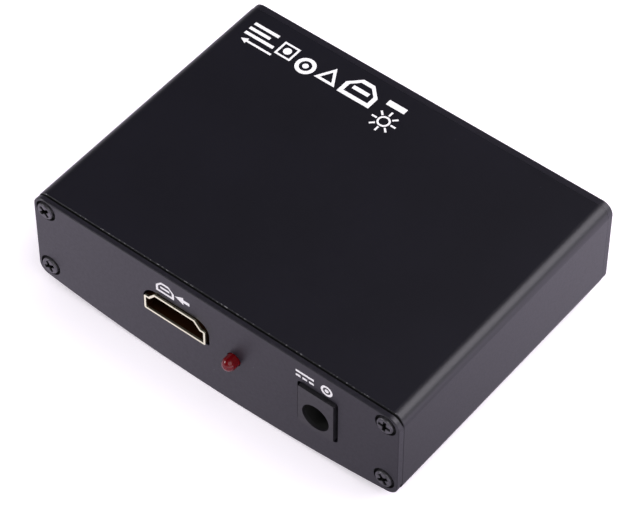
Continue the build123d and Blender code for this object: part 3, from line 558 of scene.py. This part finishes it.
def printed(name, loops, place, body):
    """Thin printed shapes: closed loops in millimetres on the plane of a placement."""
    curve = bpy.data.curves.new(f"{name}_outline", "CURVE")
    curve.dimensions = "2D"
    curve.fill_mode = "BOTH"
    curve.extrude = INK_DEPTH / 2
    for loop in loops:
        spline = curve.splines.new("POLY")
        spline.points.add(len(loop) - 1)
        for point, (x, y) in zip(spline.points, loop):
            point.co = (x * MM, y * MM, 0.0, 1.0)
        spline.use_cyclic_u = True
    drawn = placed(f"{name}_outline", curve)
    graph = bpy.context.evaluated_depsgraph_get()
    mesh = bpy.data.meshes.new_from_object(drawn.evaluated_get(graph))
    bpy.data.objects.remove(drawn)
    mesh.materials.clear()
    mesh.materials.append(ink)
    made = placed(name, mesh)
    made.matrix_world = place
    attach(made, body)


def footprint(name, grow, stroke):
    """Outline round a node on the board."""
    size = [(high - low) / MM + 2 * grow for low, high in zip(*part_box(name))]
    return box_outline(middle(name).x / MM, middle(name).y / MM, size[0], size[1], stroke)


# Places and sizes in millimetres. On the flat face Y is measured from the front plate's outer face.
top_marks = [
    bar(-36.6, 61.4, width=6.2, height=0.75),
    bar(-37.2, 59.9, width=5.2, height=0.75),
    bar(-36.2, 58.4, width=7.2, height=0.75),
    arrow(-31.8, 56.6, length=7.6, stroke=0.5, head=1.5),
    *box_outline(-29.8, 59.4, width=3.9, height=3.8, stroke=0.45),
    circle(-29.8, 59.4, radius=0.9),
    *ring(-24.5, 58.5, radius=2.2, stroke=0.85),
    circle(-24.5, 58.5, radius=0.65),
    *triangle(-19.1, 58.9, radius=2.9, stroke=0.62),
    *port(-11.8, 60.0, width=7.8, height=5.6, stroke=0.95),
    *sun(-3.4, 56.4, radius=1.4, reach=2.3, length=1.2, stroke=0.42),
    bar(-3.7, 61.0, width=4.4, height=1.4),
]
socket_label = [
    *port(-11.2, 21.3, width=4.4, height=2.9, stroke=0.5),
    arrow(-5.2, 21.3, length=3.5, stroke=0.78, head=2.0),
]
power_label = [
    bar(22.3, 22.2, width=4.2, height=0.52),
    *[bar(22.3 + shift, 21.0, width=1.1, height=0.52) for shift in (-1.55, 0.0, 1.55)],
    *ring(27.4, 21.55, radius=1.35, stroke=0.48),
    circle(27.4, 21.55, radius=0.45),
]
outlined = [*[f"{chip}_leads" for chip in chip_names], "crystal", "power_inductor"]
board_marks = [loop for name in outlined for loop in footprint(name, grow=0.35, stroke=0.18)]

on_top = Matrix.Translation((0, plate_front, case_high.z + INK_DEPTH / 2))
upright = Matrix.Rotation(math.radians(90), 4, "X")
on_front = Matrix.Translation((0, plate_front - INK_DEPTH / 2, 0)) @ upright
under_board = Matrix.Translation((0, 0, board_low.z - INK_DEPTH / 2))
printed("flat_face_marks", top_marks, on_top, "case")
printed("socket_label", socket_label, on_front, "front_plate")
printed("power_label", power_label, on_front, "front_plate")
printed("board_marks", board_marks, under_board, "board_tray")


# Small trim on the board, placed from the end faces of the CAD solids
def end_faces(name, facing, past):
    """Lowest and highest corner of each flat end of a node that faces up or down past a height."""
    mesh = nodes[name].data
    groups = []
    for face in mesh.polygons:
        if facing * face.normal.z < FACING_Z or facing * face.center.z < facing * past:
            continue
        corners = set(face.vertices)
        for group in [group for group in groups if group & corners]:
            groups.remove(group)
            corners |= group
        groups.append(corners)
    ends = []
    for group in groups:
        places = [mesh.vertices[index].co for index in group]
        ends.append([Vector([pick(place[i] for place in places) for i in range(3)]) for pick in (min, max)])
    return ends


def trim(name, shape, material, smooth):
    """Turns a bmesh into a piece on the board."""
    mesh = bpy.data.meshes.new(name)
    shape.to_mesh(mesh)
    shape.free()
    for face in mesh.polygons:
        face.use_smooth = smooth
    mesh.materials.append(material)
    made = placed(name, mesh)
    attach(made, "board_tray")
    return made


# Fillet of solder, as shares of its width and of the lead's length past the board
SOLDER_PROFILE = ((1.0, 0.0), (0.72, 0.1), (0.52, 0.3), (0.42, 0.6), (0.34, 0.9), (0.18, 1.03))
SOLDER_STEPS = 20
SOLDER_SPREAD = 0.75 * MM
SOLDER_OVER = 0.05 * MM
LEAD_PAST_BOARD = 0.3 * MM


def solder_joints():
    """One fillet for each lead that comes through the board."""
    shape = bmesh.new()
    turns = [360 * step / SOLDER_STEPS for step in range(SOLDER_STEPS)]
    for name in ("video_socket_shell", "indicator_leads", "power_jack_terminals", "phono_contacts"):
        for low, high in end_faces(name, 1, board_high.z + LEAD_PAST_BOARD):
            foot = (low + high) / 2
            reach = (high - low) / 2 + Vector((SOLDER_SPREAD, SOLDER_SPREAD, 0.0))
            height = high.z - board_high.z + SOLDER_OVER
            rings = []
            for share, rise in SOLDER_PROFILE:
                round_lead = [polar(0.0, 0.0, share, turn) for turn in turns]
                z = board_high.z + rise * height
                places = [(foot.x + a * reach.x, foot.y + b * reach.y, z) for a, b in round_lead]
                rings.append([shape.verts.new(place) for place in places])
            for lower, upper in zip(rings, rings[1:]):
                for step in range(SOLDER_STEPS):
                    after = (step + 1) % SOLDER_STEPS
                    shape.faces.new((lower[step], lower[after], upper[after], upper[step]))
            shape.faces.new(rings[-1])
            shape.faces.new(list(reversed(rings[0])))
    return shape


CAP_LENGTH = 0.32 * MM
CAP_SKIN = 0.015 * MM
CAP_ROUNDING = 0.03 * MM


def chip_ends():
    """Tinned ends of the ceramic capacitors and resistors."""
    shape = bmesh.new()
    for name in ("ceramic_capacitors", "resistors"):
        for low, high in end_faces(name, -1, board_low.z):
            size = high - low
            along = 0 if size.x > size.y else 1
            for side in (-1, 1):
                centre = Vector(((low.x + high.x) / 2, (low.y + high.y) / 2, (board_low.z + low.z) / 2))
                centre[along] += side * (size[along] - CAP_LENGTH) / 2
                scale = Vector((size.x, size.y, board_low.z - low.z))
                scale[along] = CAP_LENGTH
                scale += Vector((CAP_SKIN, CAP_SKIN, CAP_SKIN)) * 2
                place = Matrix.Translation(centre) @ Matrix.Diagonal((*scale, 1.0))
                bmesh.ops.create_cube(shape, size=1.0, matrix=place)
    return shape


CAN_MARK_TURN = 58  # degrees to each side of the negative lead
CAN_MARK_INSET = 0.1  # millimetres inside the can's edge
can_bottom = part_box("electrolytic_capacitors")[0].z


def can_marks():
    """Segment on the end of each electrolytic can, towards its negative lead."""
    loops = []
    turns = [180 + CAN_MARK_TURN * (1 - 2 * step / ARC_STEPS) for step in range(ARC_STEPS + 1)]
    for low, high in end_faces("electrolytic_capacitors", -1, can_bottom + 0.1 * MM):
        x, y = ((low[i] + high[i]) / 2 / MM for i in (0, 1))
        radius = (high.x - low.x) / 2 / MM - CAN_MARK_INSET
        loops.append([polar(x, y, radius, turn) for turn in turns])
    return loops


under_cans = Matrix.Translation((0, 0, can_bottom - INK_DEPTH / 2))
solder = metal_finish("solder", (0.74, 0.74, 0.73), 0.2, 0.32)
chip_end_tin = metal_finish("chip_end_tin", TIN, 0.34, 0.46)
printed("can_marks", can_marks(), under_cans, "board_tray")
trim("solder_joints", solder_joints(), solder, smooth=True)
chip_part_ends = trim("chip_part_ends", chip_ends(), chip_end_tin, smooth=False)
rounding = chip_part_ends.modifiers.new("rounding", "BEVEL")
rounding.width = CAP_ROUNDING
rounding.segments = 2


# Floor, backdrop colour and lamps
PAPER = (0.91, 0.86, 0.93)
PALE = (1.0, 0.99, 1.0)
# tint of the painted reflection that glossy surfaces see on the paper
MIRRORED_PAPER = (1.07, 0.975, 1.17)
PAPER_GLOW = 0.27  # added to the lit paper for the camera, so that it renders near white
CORNER_SPREAD = (1.0, 0.85, 1.0)


def floor_finish():
    """White paper. Glossy surfaces see a glow on it instead, with painted shade by the object's near corner
    and a painted brighter reflection far out on +X.
    """
    material = bpy.data.materials.new("floor")
    material.use_nodes = True
    material.node_tree.nodes.clear()
    graph = Graph(material.node_tree)
    seen_by = graph.node("ShaderNodeLightPath").outputs

    def glow(colour, strength):
        inputs = {"Color": (*colour, 1.0), "Strength": strength}
        return graph.node("ShaderNodeEmission", inputs).outputs["Emission"]

    paper = graph.node("ShaderNodeBsdfDiffuse", {"Color": (*PAPER, 1.0)}).outputs["BSDF"]
    seen = graph.maths("MAXIMUM", seen_by["Is Camera Ray"], seen_by["Is Transmission Ray"])
    backdrop = glow(PALE, graph.maths("MULTIPLY", seen, PAPER_GLOW))
    lit = graph.node("ShaderNodeAddShader", {0: paper, 1: backdrop}).outputs["Shader"]
    corner = {"Vector": graph.place, "Location": (case_high.x, plate_front, 0.0), "Scale": CORNER_SPREAD}
    from_corner = graph.node("ShaderNodeMapping", corner, vector_type="TEXTURE").outputs["Vector"]
    away = graph.node("ShaderNodeVectorMath", {0: from_corner}, operation="LENGTH").outputs["Value"]
    # Painted shade and reflection: the glow that glossy surfaces see dims towards the object's near corner
    # and is painted brighter far out on +X.
    near = graph.ramp(away, first=0.46, last=1.02, start=0.0, end=0.1)
    painted_far_glow = graph.ramp(graph.axis("X"), first=0.0, last=0.9, start=0.07, end=0.12)
    painted_reflection = glow(MIRRORED_PAPER, graph.maths("ADD", near, painted_far_glow))
    surface = graph.mixed(seen_by["Is Glossy Ray"], lit, painted_reflection)
    graph.node("ShaderNodeOutputMaterial", {"Surface": surface})
    return material


FLOOR_RADIUS = 3.0

floor_mesh = bpy.data.meshes.new("floor")
floor_shape = bmesh.new()
bmesh.ops.create_circle(floor_shape, cap_ends=True, radius=FLOOR_RADIUS, segments=64)
floor_shape.to_mesh(floor_mesh)
floor_shape.free()
floor_mesh.materials.append(floor_finish())
floor = placed("floor", floor_mesh)


def lamp(name, place, aim, size, power, colour=(1.0, 1.0, 1.0)):
    """Round lamp of a size in metres and a power in watts."""
    data = bpy.data.lights.new(name, "AREA")
    data.color = colour
    data.shape = "DISK"
    data.size = size
    data.energy = power
    made = placed(name, data)
    made.location = place
    made.rotation_mode = "QUATERNION"
    made.rotation_quaternion = (Vector(aim) - Vector(place)).to_track_quat("-Z", "Y")
    made.visible_camera = False


lamp("key", place=(0.45, -0.35, 0.75), aim=(0, 0, 0), size=1.0, power=3.6)
lamp("fill", place=(-0.76, -0.58, 0.46), aim=(0, 0, 0.01), size=0.38, power=3.0)
lamp("edge", place=(0.5, 0.51, 0.71), aim=(0, 0, 0.01), size=0.92, power=8.6, colour=(1.0, 0.95, 1.03))


EVEN_LIGHT, EVEN_STRENGTH = (0.99, 0.98, 1.0), 0.6
ROOM = (0.8, 0.8, 0.8)


def studio_world():
    """Even light. Glossy surfaces see a pale wall low down on +X and a dark room elsewhere."""
    world = bpy.data.worlds.new("studio")
    bpy.context.scene.world = world
    world.use_nodes = True
    world.node_tree.nodes.clear()
    graph = Graph(world.node_tree, "Generated")
    seen_by = graph.node("ShaderNodeLightPath").outputs

    def backdrop(colour, strength):
        inputs = {"Color": (*colour, 1.0), "Strength": strength}
        return graph.node("ShaderNodeBackground", inputs).outputs["Background"]

    even = backdrop(EVEN_LIGHT, EVEN_STRENGTH)
    pale = backdrop(PALE, 1.0)
    low_down = graph.ramp(graph.axis("Z"), first=1.7, last=0.1, start=0.12, end=0.42)
    to_the_side = graph.ramp(graph.axis("X"), first=0.3, last=0.94, start=-0.3, end=0.5)
    room = backdrop(ROOM, graph.maths("MULTIPLY", low_down, to_the_side))
    lighting = graph.mixed(seen_by["Is Glossy Ray"], even, room)
    seen = graph.maths("MAXIMUM", seen_by["Is Camera Ray"], seen_by["Is Transmission Ray"])
    graph.node("ShaderNodeOutputWorld", {"Surface": graph.mixed(seen, lighting, pale)})


studio_world()
